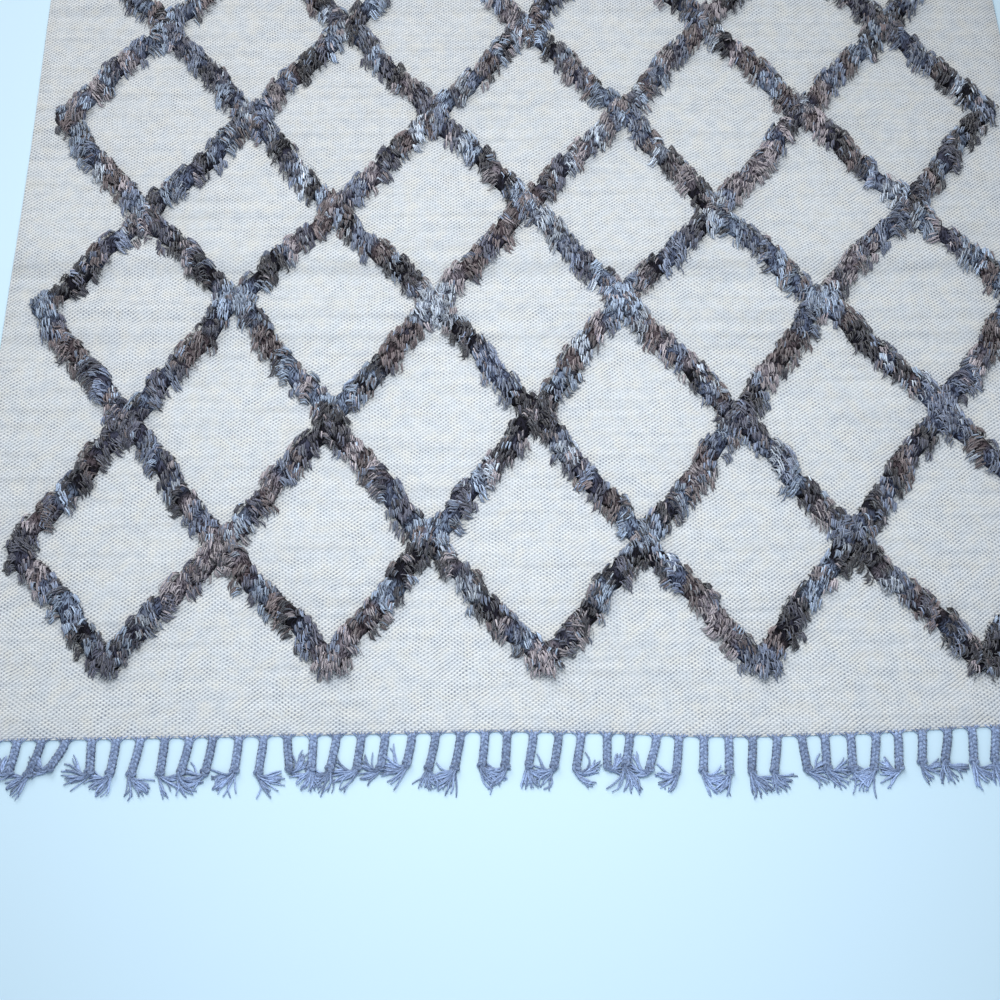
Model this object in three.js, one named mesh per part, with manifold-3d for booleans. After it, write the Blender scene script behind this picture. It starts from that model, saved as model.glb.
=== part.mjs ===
// A hand-woven wool rug: a flat-woven ground cloth with a lattice of diamonds in raised shaggy pile,
// knotted into it as it was woven, and plaited warp fringes with knotted tassels at both ends.
//
// Millimetres, +Z up. The rug lies flat: X runs across it, Y along it, and the origin is the middle
// of its underside.
import * as THREE from "three";
import { mergeVertices } from "three/addons/utils/BufferGeometryUtils.js";
import Module from "manifold-3d";

const wasm = await Module();
wasm.setup();

// The ground cloth.
const clothWidth = 1600;
const clothLength = 2300;
const clothThickness = 5;
const selvedgeWave = 2.5; // how far a selvedge strays from a straight line
const selvedgeStep = 115;
const gap = 0.3; // between pieces that touch

// How far the near end of the cloth stands out past its straight line. The far end is the same,
// turned half round.
const nearEnd = [
  { x: -800, out: 1 },
  { x: -460, out: 0 },
  { x: -260, out: -1 },
  { x: -60, out: -2 },
  { x: 100, out: 3 },
  { x: 190, out: 8 },
  { x: 280, out: 10 },
  { x: 430, out: 8 },
  { x: 590, out: 1 },
  { x: 800, out: 1 },
];

// The pile lattice.
const diamondsAcross = 5;
const diamondPitch = 300;
const pileHalfWidth = 23; // from the middle of a pile band to its foot
const shoulderHalfWidth = 16;
const crownHeight = 18; // of the pile above the cloth
const shoulderHeight = 13;
const stepsPerBand = 6;
const bandSway = 3; // how far a band wanders sideways between two crossings
const lumpShare = 0.13; // how unevenly the locks stand out, as a share of a width or a height
const farDrift = 5; // how far crossings stray in the rows without columns for it

// The rows of crossings, from the near end upwards. rise is the height of a row above the last one,
// or above the near end. drift and lift are how far each crossing of the row, from left to right,
// stands to the right of its even place and above its row.
const crossingRows = [
  { rise: 94, drift: [7, 12, 2, -2, 4], lift: [10, 4, 0, -5, -8] },
  { rise: 173, drift: [15, 0, -8, -1, -9, -4], lift: [0, 1, 2, -2, 1, 0] },
  { rise: 193, drift: [3, 0, -1, -2, 3], lift: [-1, -1, 4, -5, 5] },
  { rise: 191, drift: [7, -2, 1, -17, -12, -5], lift: [-7, 9, -2, 5, -2, 0] },
  { rise: 166, drift: [-2, -8, -4, -5, -3], lift: [-6, 0, 9, -10, -1] },
  { rise: 181 },
  { rise: 178 },
  { rise: 172 },
  { rise: 167 },
  { rise: 175 },
  { rise: 168 },
  { rise: 170 },
  { rise: 170 },
];

// The fringes: plaits of gathered warps, each with a knot and a tassel.
const plaitCount = 48;
const plaitPitch = 32.7;
const headingDepth = 3.5; // of the gathered warps along the cloth's edge
const headingHeight = 4;
const knotAlong = 43; // from the cloth's edge to the middle of a knot
const usualLean = -6; // how far a knot lies to the right of its plait's root
const leanSpread = 4;
const rootSpread = 2;
const lengthSpread = 0.08; // as a share of a plait's length

// The plaits that were brushed aside, counted from the left.
const strayPlaits = [
  { plait: 3, lean: -14 },
  { plait: 4, lean: -23 },
  { plait: 5, lean: 2 },
  { plait: 13, lean: 6 },
  { plait: 14, lean: -1 },
  { plait: 28, lean: -14 },
  { plait: 34, lean: 4 },
  { plait: 35, lean: -2 },
  { plait: 40, lean: -12 },
];

// A plait's cross-sections from its root to the tip of its tassel. turn is the share of the plait's
// turn that the section has.
const plaitSections = [
  { along: 1.8, turn: 0, width: 14, height: 3 },
  { along: 9, turn: 0.7, width: 11.5, height: 8.5 },
  { along: 23, turn: 1, width: 11.5, height: 8.5 },
  { along: 37, turn: 1, width: 10.5, height: 8.5 },
  { along: 43, turn: 1, width: 15, height: 12 },
  { along: 49, turn: 0.9, width: 9.5, height: 8 },
  { along: 62, turn: 0.6, width: 15, height: 6.5 },
  { along: 76, turn: 0.6, width: 18, height: 4 },
];

/** A steady number from -1 to 1 for a pair of counts, in place of a random one. */
function uneven(a, b) {
  const turned = Math.sin(a * 12.9898 + b * 78.233) * 43758.5453;
  return 2 * (turned - Math.floor(turned)) - 1;
}

/** A growing closed surface: its points, and its triangles as indices into them. */
class Surface {
  points = [];
  triangles = [];

  add(x, y, z) {
    this.points.push(x, y, z);
    return this.points.length / 3 - 1;
  }

  /** The point of an index, seen from above. */
  plan(index) {
    return new THREE.Vector2(this.points[3 * index], this.points[3 * index + 1]);
  }

  /** A four-cornered face, anticlockwise as seen from outside. */
  quad(a, b, c, d) {
    this.triangles.push(a, b, c, a, c, d);
  }

  /** A flat face that looks up, inside one loop of indices and outside the others. */
  face(loop, holes = []) {
    const all = [...loop, ...holes.flat()];
    const plans = [loop, ...holes].map((indices) => indices.map((index) => this.plan(index)));
    const found = THREE.ShapeUtils.triangulateShape(plans[0], plans.slice(1));
    for (const [a, b, c] of found) {
      const corners = [all[a], all[b], all[c]];
      const turn = THREE.ShapeUtils.area(corners.map((index) => this.plan(index)));
      this.triangles.push(...(turn > 0 ? corners : corners.reverse()));
    }
  }

  geometry() {
    const made = new THREE.BufferGeometry();
    made.setAttribute("position", new THREE.Float32BufferAttribute(this.points, 3));
    made.setIndex(this.triangles);
    return made;
  }
}

/** How far the near end stands out at x: straight between the points of its table. */
function endOut(x) {
  const after = nearEnd.findIndex((point) => point.x > x);
  if (after < 0) return nearEnd.at(-1).out;
  const [from, to] = [nearEnd[Math.max(0, after - 1)], nearEnd[after]];
  return THREE.MathUtils.mapLinear(x, from.x, to.x, from.out, to.out);
}

/** The cloth's outline, anticlockwise from its near left corner; its far half is the near one turned. */
function clothOutline() {
  const half = nearEnd.map((point) => new THREE.Vector2(point.x, -clothLength / 2 - point.out));
  for (let up = selvedgeStep; up < clothLength; up += selvedgeStep) {
    const out = selvedgeWave * Math.sin((up / clothLength) * 3 * Math.PI) * Math.sin(up / 200);
    half.push(new THREE.Vector2(clothWidth / 2 + out, up - clothLength / 2));
  }
  return [...half, ...half.map((point) => point.clone().negate())];
}

/** The crossings of the lattice, row by row: rows of five and rows of six in turn. */
function latticeCrossings() {
  let height = -clothLength / 2;
  return crossingRows.map((row, r) => {
    height += row.rise;
    const count = r % 2 === 0 ? diamondsAcross : diamondsAcross + 1;
    return Array.from({ length: count }, (_, c) => {
      const drift = row.drift ? row.drift[c] : farDrift * uneven(r, c);
      const lift = row.lift ? row.lift[c] : farDrift * uneven(c, r + 40);
      const x = (c - (count - 1) / 2) * diamondPitch + drift;
      return { place: new THREE.Vector2(x, height + lift), arms: [] };
    });
  });
}

/** Joins each crossing to the nearest ones of the row above, with an arm at both ends of a band. */
function joinCrossings(rows) {
  const bands = [];
  for (let r = 0; r + 1 < rows.length; r++) {
    const sides = rows[r].length < rows[r + 1].length ? [0, 1] : [-1, 0];
    rows[r].forEach((low, c) => {
      for (const high of sides.map((side) => rows[r + 1][c + side]).filter(Boolean)) {
        const out = { from: low, angle: high.place.clone().sub(low.place).angle() };
        const back = { from: high, angle: low.place.clone().sub(high.place).angle() };
        out.other = back;
        back.other = out;
        low.arms.push(out);
        high.arms.push(back);
        bands.push(out);
      }
    });
  }
  rows.flat().forEach((crossing) => crossing.arms.sort((a, b) => a.angle - b.angle));
  return bands;
}

/** Sets a crossing's crown, and a shoulder and a foot in each corner between two of its arms. */
function setCorners(surface, crossing, number) {
  const { x, y } = crossing.place;
  crossing.crown = surface.add(x, y, clothThickness + crownHeight * (1 + 0.06 * uneven(number, 7)));
  crossing.arms.forEach((arm, i) => {
    const next = crossing.arms[(i + 1) % crossing.arms.length];
    const between = (next.angle - arm.angle + 2 * Math.PI) % (2 * Math.PI);
    const middle = arm.angle + between / 2;
    const corner = (halfWidth, height) => {
      const reach = halfWidth / Math.sin(between / 2);
      const z = clothThickness + height;
      return surface.add(x + reach * Math.cos(middle), y + reach * Math.sin(middle), z);
    };
    arm.left = { foot: corner(pileHalfWidth, 0), shoulder: corner(shoulderHalfWidth, shoulderHeight) };
    next.right = arm.left;
  });
}

/** The points across a band at one step along it: foot, shoulder, crown, shoulder, foot. */
function sectionOf(surface, arm, number, step) {
  const across = ({ left, right, from }) => [left.foot, left.shoulder, from.crown, right.shoulder, right.foot];
  if (step === 0) return across(arm);
  if (step === stepsPerBand) return across(arm.other).reverse();
  const share = step / stepsPerBand;
  const along = arm.other.from.place.clone().sub(arm.from.place);
  const leftward = new THREE.Vector2(-along.y, along.x).normalize();
  const sway = bandSway * uneven(number, step);
  const middle = arm.from.place.clone().addScaledVector(along, share).addScaledVector(leftward, sway);
  const lump = (place) => 1 + lumpShare * uneven(number + 100 * place, step);
  const point = (place, sideways, height) => {
    const spot = middle.clone().addScaledVector(leftward, sideways * lump(place));
    return surface.add(spot.x, spot.y, clothThickness + height * lump(place + 5));
  };
  return [
    point(1, pileHalfWidth, 0),
    point(2, shoulderHalfWidth, shoulderHeight),
    point(3, 0, crownHeight),
    point(4, -shoulderHalfWidth, shoulderHeight),
    point(5, -pileHalfWidth, 0),
  ];
}

/** Raises one band of pile between two crossings, and notes the feet on each of its sides. */
function raiseBand(surface, arm, number) {
  const sections = [];
  for (let step = 0; step <= stepsPerBand; step++) {
    sections.push(sectionOf(surface, arm, number, step));
  }
  for (let step = 0; step < stepsPerBand; step++) {
    const here = sections[step];
    const next = sections[step + 1];
    for (let k = 0; k < 4; k++) {
      surface.quad(here[k], here[k + 1], next[k + 1], next[k]);
    }
  }
  arm.leftFeet = sections.slice(0, -1).map((section) => section[0]);
  arm.other.leftFeet = sections.slice(1).reverse().map((section) => section.at(-1));
}

/** The loops of feet that keep the bare ground on their left: one for each diamond, and the outside. */
function groundLoops(rows) {
  const seen = new Set();
  const loops = [];
  for (const start of rows.flat().flatMap((crossing) => crossing.arms)) {
    if (seen.has(start)) continue;
    const loop = [];
    for (let arm = start; !seen.has(arm); ) {
      seen.add(arm);
      loop.push(...arm.leftFeet);
      const arms = arm.other.from.arms;
      arm = arms[(arms.indexOf(arm.other) + arms.length - 1) % arms.length];
    }
    loops.push(loop);
  }
  return loops;
}

/** The rug's cloth: a flat underside, woven edges, bare diamonds, and the pile raised between them. */
function makeCloth(material) {
  const surface = new Surface();
  const rows = latticeCrossings();
  const bands = joinCrossings(rows);
  rows.flat().forEach((crossing, number) => setCorners(surface, crossing, number));
  bands.forEach((arm, number) => raiseBand(surface, arm, number));

  const outline = clothOutline();
  const top = outline.map((point) => surface.add(point.x, point.y, clothThickness));
  const bottom = outline.map((point) => surface.add(point.x, point.y, 0));
  const isDiamond = (loop) => THREE.ShapeUtils.area(loop.map((index) => surface.plan(index))) > 0;
  const loops = groundLoops(rows);
  loops.filter(isDiamond).forEach((loop) => surface.face(loop));
  surface.face(top, loops.filter((loop) => !isDiamond(loop)));
  outline.forEach((_, i) => {
    const j = (i + 1) % outline.length;
    surface.quad(bottom[i], bottom[j], top[j], top[i]);
  });
  const floor = new Surface();
  floor.points = surface.points;
  floor.face(bottom);
  surface.triangles.push(...floor.triangles.reverse());
  return named("rug_cloth", surface.geometry(), material);
}

/** How far a plait's knot lies to the right of its root. */
function leanOf(plait) {
  const stray = strayPlaits.find((row) => row.plait === plait);
  return stray ? stray.lean : usualLean + leanSpread * uneven(plait, 3);
}

/** One plait with its knot and tassel: four-sided, flat on the floor, and closed at both ends. */
function makePlait(plait) {
  const surface = new Surface();
  const rootX = (plait - (plaitCount - 1) / 2) * plaitPitch + rootSpread * uneven(plait, 1);
  const turn = Math.asin(leanOf(plait) / knotAlong);
  const stretch = 1 + lengthSpread * uneven(plait, 5);
  const centre = new THREE.Vector2(rootX, -clothLength / 2 - endOut(rootX) - gap);
  let reached = 0;
  const rings = plaitSections.map((section, i) => {
    const angle = turn * section.turn;
    const along = section.along * (i === 0 ? 1 : stretch);
    const sideways = new THREE.Vector2(Math.cos(angle), Math.sin(angle));
    const forward = new THREE.Vector2(Math.sin(angle), -Math.cos(angle));
    centre.addScaledVector(forward, along - reached);
    reached = along;
    const corner = (offset, z) =>
      surface.add(centre.x + sideways.x * offset, centre.y + sideways.y * offset, z);
    const half = section.width / 2;
    const topHalf = 0.65 * half;
    return [corner(-half, 0), corner(half, 0), corner(topHalf, section.height), corner(-topHalf, section.height)];
  });
  surface.quad(...rings[0].slice().reverse());
  for (let r = 0; r + 1 < rings.length; r++) {
    for (let k = 0; k < 4; k++) {
      const after = (k + 1) % 4;
      surface.quad(rings[r][k], rings[r][after], rings[r + 1][after], rings[r + 1][k]);
    }
  }
  surface.quad(...rings.at(-1));
  return surface.geometry();
}

/** The gathered warps along the near end of the cloth, from which the plaits grow. */
function makeHeading() {
  const offset = (down) => ({ x, out }) => new THREE.Vector2(x, -clothLength / 2 - out - down);
  const outline = [
    ...nearEnd.map(offset(gap)).reverse(),
    ...nearEnd.map(offset(gap + headingDepth)),
  ];
  return new THREE.ExtrudeGeometry(new THREE.Shape(outline), { depth: headingHeight, bevelEnabled: false });
}

/** A closed geometry as a solid that can be joined to others. */
function solidOf(geometry) {
  const bare = geometry.clone();
  bare.deleteAttribute("normal");
  bare.deleteAttribute("uv");
  const merged = mergeVertices(bare, 1e-3);
  return new wasm.Manifold(
    new wasm.Mesh({
      numProp: 3,
      vertProperties: merged.attributes.position.array,
      triVerts: new Uint32Array(merged.index.array),
    }),
  );
}

/** A fringe at the near end: the heading with every plait joined to it at its root. */
function makeFringe(name, material) {
  let solid = solidOf(makeHeading());
  for (let plait = 0; plait < plaitCount; plait++) {
    solid = solid.add(solidOf(makePlait(plait)));
  }
  const mesh = solid.getMesh();
  const geometry = new THREE.BufferGeometry();
  geometry.setAttribute("position", new THREE.BufferAttribute(mesh.vertProperties, 3));
  geometry.setIndex(new THREE.BufferAttribute(mesh.triVerts, 1));
  return named(name, geometry, material);
}

function named(name, geometry, material) {
  const mesh = new THREE.Mesh(geometry, material);
  mesh.name = name;
  return mesh;
}

const clothWool = new THREE.MeshStandardMaterial({ color: 0xccd3d9, roughness: 0.95, metalness: 0 });
const warpYarn = new THREE.MeshStandardMaterial({ color: 0x7f8da8, roughness: 0.9, metalness: 0 });

const rug = new THREE.Group();
rug.add(makeCloth(clothWool));
rug.add(makeFringe("fringe_near", warpYarn));
const farFringe = makeFringe("fringe_far", warpYarn);
farFringe.rotation.z = Math.PI;
rug.add(farFringe);

export default rug;
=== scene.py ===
"""A flat-woven wool rug with a lattice of shaggy pile and plaited fringes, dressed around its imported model.

The rug lies flat at the origin, in metres: X runs across it, Y along it and Z up. Sizes are in metres
unless a name ends in _mm or its class says otherwise.
"""

import logging
import math
from collections.abc import Callable
from dataclasses import dataclass, field
from enum import Enum

import bpy
import numpy as np
from mathutils import Matrix, Vector


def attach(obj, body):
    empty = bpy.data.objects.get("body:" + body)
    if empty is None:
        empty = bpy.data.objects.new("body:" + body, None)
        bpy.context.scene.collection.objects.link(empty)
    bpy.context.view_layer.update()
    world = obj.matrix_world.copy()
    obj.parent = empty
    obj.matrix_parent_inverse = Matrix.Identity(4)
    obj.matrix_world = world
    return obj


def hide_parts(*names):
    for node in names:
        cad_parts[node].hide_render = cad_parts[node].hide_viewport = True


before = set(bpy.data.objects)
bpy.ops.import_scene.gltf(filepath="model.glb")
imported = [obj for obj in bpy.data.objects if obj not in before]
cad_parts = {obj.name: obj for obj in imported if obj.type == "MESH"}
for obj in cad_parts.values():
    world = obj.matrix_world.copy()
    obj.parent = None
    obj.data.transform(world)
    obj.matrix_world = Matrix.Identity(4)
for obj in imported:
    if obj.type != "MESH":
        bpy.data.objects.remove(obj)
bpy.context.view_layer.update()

LOG = logging.getLogger("rug")
MM = 0.001
BODY = "root"
SEED = 20
FRINGE_SEED = SEED + 7
TINY = 1e-12
GOLDEN_SHARE = 0.618034
UNEVEN_MIX = (12.9898, 78.233, 43758.5453)
UPRIGHT = np.array([0.0, 0.0, 1.0])

Tint = tuple[float, float, float]
Place = tuple[float, float, float]
Piece = bpy.types.Object
Link = bpy.types.NodeSocket


def uneven(a: float, b: float) -> float:
    """Return a steady number from -1 to 1 for a pair of counts."""
    first, second, scale = UNEVEN_MIX
    turned = math.sin(a * first + b * second) * scale
    return 2 * (turned - math.floor(turned)) - 1


def linear(red: float, green: float, blue: float) -> np.ndarray:
    """Return the linear colour, by the standard curve, of a screen colour with channels up to 255."""
    screen = np.array([red, green, blue]) / 255
    return np.where(screen <= 0.04045, screen / 12.92, ((screen + 0.055) / 1.055) ** 2.4)


def unit(vectors: np.ndarray, tiny: float = 0.0) -> np.ndarray:
    """Return vectors at length one; tiny keeps a vector of no length from dividing by zero."""
    return vectors / (np.linalg.norm(vectors, axis=-1, keepdims=True) + tiny)


def level_side(centre: np.ndarray) -> np.ndarray:
    """Return the level direction to the left of each strand's run, for middle lines (strands, rings, 3)."""
    run = np.gradient(centre, axis=1)
    return unit(np.stack([-run[..., 1], run[..., 0], np.zeros(run.shape[:2])], axis=-1), TINY)


def walked(steps: np.ndarray) -> np.ndarray:
    """Return how far each strand has come at its stops, for the steps between them, (strands, steps, 2)."""
    return np.concatenate([np.zeros((len(steps), 1, 2)), np.cumsum(steps, axis=1)], axis=1)


def in_a_row(values: np.ndarray) -> np.ndarray:
    """Return values one after another as single floats, as foreach_set takes them."""
    return values.reshape(-1).astype(np.float32)


def points_of(piece: Piece) -> np.ndarray:
    """Return a piece's points, (count, 3)."""
    points = np.empty(len(piece.data.vertices) * 3, dtype=np.float32)
    piece.data.vertices.foreach_get("co", points)
    return points.reshape(-1, 3)


def added(name: str, data: bpy.types.ID) -> Piece:
    """Return a new object of the scene that holds the data, at the origin."""
    made = bpy.data.objects.new(name, data)
    bpy.context.scene.collection.objects.link(made)
    return made


def deselect_all() -> None:
    """Leave nothing selected, so that the next operator acts on its own new object alone."""
    bpy.ops.object.select_all(action="DESELECT")


class Side(Enum):
    """The rug's ends; the far one is the near one turned half round."""

    NEAR = 1
    FAR = -1


@dataclass(frozen=True)
class CrossingRow:
    """One row of crossings: its height above the last row, and how far each crossing strays, in mm."""

    rise: float
    drift: tuple[float, ...] = ()
    lift: tuple[float, ...] = ()


@dataclass
class Band:
    """One straight band of pile between two crossings."""

    start: np.ndarray
    end: np.ndarray
    row: int
    number: int

    @property
    def length(self) -> float:
        """Return the distance between the two crossings."""
        return float(np.linalg.norm(self.end - self.start))

    @property
    def along(self) -> np.ndarray:
        """Return the direction of the band's run, away from the near end."""
        return (self.end - self.start) / self.length

    @property
    def down(self) -> np.ndarray:
        """Return the direction across the band, towards the near end."""
        along = self.along
        return np.array([along[1], -along[0]]) if along[0] > 0 else np.array([-along[1], along[0]])


@dataclass
class Lattice:
    """The lattice of diamonds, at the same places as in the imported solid."""

    cloth_length: float = 2.300
    pitch: float = 0.300
    across: int = 5
    stray_mm: float = 5.0
    lift_salt: int = 40
    rows: tuple[CrossingRow, ...] = (
        CrossingRow(94, (7, 12, 2, -2, 4), (10, 4, 0, -5, -8)),
        CrossingRow(173, (15, 0, -8, -1, -9, -4), (0, 1, 2, -2, 1, 0)),
        CrossingRow(193, (3, 0, -1, -2, 3), (-1, -1, 4, -5, 5)),
        CrossingRow(191, (7, -2, 1, -17, -12, -5), (-7, 9, -2, 5, -2, 0)),
        CrossingRow(166, (-2, -8, -4, -5, -3), (-6, 0, 9, -10, -1)),
        *(CrossingRow(rise) for rise in (181, 178, 172, 167, 175, 168, 170, 170)),
    )

    def crossings(self) -> list[np.ndarray]:
        """Work out where every crossing lies.

        Returns:
            One array of places for each row, from the near end upwards.
        """
        height = -self.cloth_length / 2
        placed = []
        for r, row in enumerate(self.rows):
            height += row.rise * MM
            count = self.across + r % 2
            drift = row.drift or [self.stray_mm * uneven(r, c) for c in range(count)]
            lift = row.lift or [self.stray_mm * uneven(c, r + self.lift_salt) for c in range(count)]
            x = (np.arange(count) - (count - 1) / 2) * self.pitch + np.array(drift) * MM
            placed.append(np.stack([x, height + np.array(lift) * MM], axis=1))
        return placed

    def bands(self) -> list[Band]:
        """Join each crossing to the nearest ones of the row above.

        Returns:
            The bands, from the near end upwards.
        """
        placed = self.crossings()
        bands = []
        for r, (low, high) in enumerate(zip(placed, placed[1:])):
            sides = (0, 1) if len(low) < len(high) else (-1, 0)
            for c, start in enumerate(low):
                for reach in (c + side for side in sides):
                    if 0 <= reach < len(high):
                        bands.append(Band(start, high[reach], r, len(bands)))
        return bands


@dataclass
class Strands:
    """Many closed strands of one make, kept as arrays and joined into one mesh.

    centre and side are (strands, rings, 3); wide and high are half sizes, (strands, rings); tone is
    (strands, 3), or (strands, rings, 3) where it changes along a strand. Nothing reaches below the floor,
    which is one height or (strands, rings).
    """

    centre: np.ndarray
    side: np.ndarray
    wide: np.ndarray
    high: np.ndarray
    tone: np.ndarray
    corners: int = 3
    pointed: bool = True
    floor: float | np.ndarray = 0.0

    @property
    def body(self) -> int:
        """Return how many rings have corners; a pointed strand's last ring is its tip."""
        return self.centre.shape[1] - self.pointed

    def at_points(self, values: np.ndarray) -> np.ndarray:
        """Return values kept for each ring at each of the ring's points."""
        body = np.repeat(values[:, : self.body], self.corners, axis=1)
        return np.concatenate([body, values[:, self.body :]], axis=1)

    def points(self) -> np.ndarray:
        """Work out the corners of every ring, and the tip of a pointed strand.

        Returns:
            The points, (strands, points of one strand, 3), none of them below the floor.
        """
        count, rings = self.centre.shape[:2]
        run = unit(np.gradient(self.centre, axis=1), TINY)
        up = unit(np.cross(run, self.side), TINY)
        side = np.cross(up, run)
        angles = (math.pi / 2 + np.arange(self.corners) * 2 * math.pi / self.corners)[:, None]
        wide = (self.wide[..., None] * side)[:, :, None]
        high = (self.high[..., None] * up)[:, :, None]
        ringed = self.centre[:, :, None] + np.cos(angles) * wide + np.sin(angles) * high
        ringed = ringed[:, : self.body].reshape(count, -1, 3)
        points = np.concatenate([ringed, self.centre[:, self.body :]], axis=1)
        floor = self.at_points(np.broadcast_to(self.floor, (count, rings)))
        points[..., 2] = np.maximum(points[..., 2], floor)
        return points

    def faces(self) -> list[tuple[np.ndarray, np.ndarray, np.ndarray]]:
        """List one strand's faces: the quads between its rings, the triangles of its tip, and its caps.

        Returns:
            For each kind of face the points it joins, the ring of each one and how far round each one lies.
        """
        sides = self.corners
        k = np.arange(sides)
        after = (k + 1) % sides
        ring = np.arange(self.body - 1)[:, None, None]
        quads = ring * sides + np.stack([k, after, after + sides, k + sides], 1)
        quad_rings = ring + np.tile([0, 0, 1, 1], (sides, 1))
        quad_turns = np.tile(np.stack([k, k + 1, k + 1, k], 1) / sides, (self.body - 1, 1))
        kinds = [(quads.reshape(-1, 4), quad_rings.reshape(-1, 4), quad_turns)]
        unmapped = np.zeros((1, sides), dtype=int)
        last = (self.body - 1) * sides
        if self.pointed:
            tips = np.stack([last + k, last + after, np.full(sides, last + sides)], 1)
            tip_rings = np.tile([self.body - 1, self.body - 1, self.body], (sides, 1))
            kinds.append((tips, tip_rings, np.stack([k, k + 1, k + 0.5], 1) / sides))
        kinds.append((k[None, ::-1], unmapped, unmapped))
        if not self.pointed:
            kinds.append((last + k[None], unmapped, unmapped))
        return kinds

    def build(self, name: str) -> Piece:
        """Join the strands into one smooth mesh with a tone and a lengthways map.

        Args:
            name: The piece's name.

        Returns:
            The new object, at the origin.
        """
        count, rings = self.centre.shape[:2]
        points = self.points()
        each = points.shape[1]
        steps = np.linalg.norm(np.diff(self.centre, axis=1), axis=2)
        along = np.concatenate([np.zeros((count, 1)), np.cumsum(steps, axis=1)], axis=1)
        first = (np.arange(count) * each)[:, None, None]
        loops, totals, maps = [], [], []
        for joined, ring, turn in self.faces():
            loops.append((first + joined).reshape(-1))
            totals.append(np.full(count * len(joined), joined.shape[1]))
            turn = np.broadcast_to(turn, (count, *turn.shape))
            maps.append(np.stack([turn, along[:, ring]], -1).reshape(-1))
        loops, totals, maps = (np.concatenate(part) for part in (loops, totals, maps))

        mesh = bpy.data.meshes.new(name)
        mesh.vertices.add(count * each)
        mesh.vertices.foreach_set("co", in_a_row(points))
        mesh.loops.add(len(loops))
        mesh.loops.foreach_set("vertex_index", loops.astype(np.int32))
        mesh.polygons.add(len(totals))
        mesh.polygons.foreach_set("loop_start", (np.cumsum(totals) - totals).astype(np.int32))
        mesh.update(calc_edges=True)
        mesh.shade_smooth()
        mesh.uv_layers.new(name="run").uv.foreach_set("vector", in_a_row(maps))
        tone = np.broadcast_to(self.tone if self.tone.ndim == 3 else self.tone[:, None], (count, rings, 3))
        own = np.modf(np.arange(count) * GOLDEN_SHARE)[0]
        own = np.broadcast_to(own[:, None, None], (count, each, 1))
        colours = mesh.color_attributes.new(name="tone", type="FLOAT_COLOR", domain="POINT")
        colours.data.foreach_set("color", in_a_row(np.concatenate([self.at_points(tone), own], axis=2)))
        return added(name, mesh)


def feed(tree: bpy.types.NodeTree, socket: Link, value: object) -> None:
    """Link a socket to a wire or another socket, or give it a value."""
    source = value.socket if isinstance(value, Wire) else value
    if isinstance(source, Link):
        tree.links.new(source, socket)
    else:
        socket.default_value = source


def operator(operation: str, turned: bool = False) -> Callable[..., "Wire"]:
    """Make a method of Wire that adds one Math node.

    Args:
        operation: The node's operation.
        turned: Whether the other number stands before the wire.

    Returns:
        The method; it takes the wire and the other numbers, and returns the node's result.
    """

    def method(*terms: "Wire | float") -> "Wire":
        """Add the node."""
        return terms[0].math(operation, *(terms[::-1] if turned else terms))

    return method


@dataclass(frozen=True)
class Wire:
    """A number's socket; arithmetic on it adds the Math nodes."""

    tree: bpy.types.NodeTree
    socket: Link

    __add__ = __radd__ = operator("ADD")
    __sub__ = operator("SUBTRACT")
    __rsub__ = operator("SUBTRACT", turned=True)
    __mul__ = __rmul__ = operator("MULTIPLY")
    __truediv__ = operator("DIVIDE")
    __pow__ = operator("POWER")
    __abs__ = operator("ABSOLUTE")
    floor = operator("FLOOR")
    fraction = operator("FRACT")
    sine = operator("SINE")
    cosine = operator("COSINE")

    def math(self, operation: str, *terms: "Wire | float", clamp: bool = False) -> "Wire":
        """Add one Math node to the wire's tree.

        Args:
            operation: The node's operation.
            terms: Its operands, wires or numbers.
            clamp: Whether the result is kept from 0 to 1.

        Returns:
            The node's result.
        """
        made = self.tree.nodes.new("ShaderNodeMath")
        made.operation = operation
        made.use_clamp = clamp
        for place, term in enumerate(terms):
            feed(self.tree, made.inputs[place], term)
        return Wire(self.tree, made.outputs[0])

    def ramp(self, low: float, high: float) -> "Wire":
        """Return 0 below low, 1 above high and a smooth rise between; low may be the larger."""
        share = self.math("DIVIDE", self - low, high - low, clamp=True)
        return share * share * (3.0 - 2.0 * share)


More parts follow.
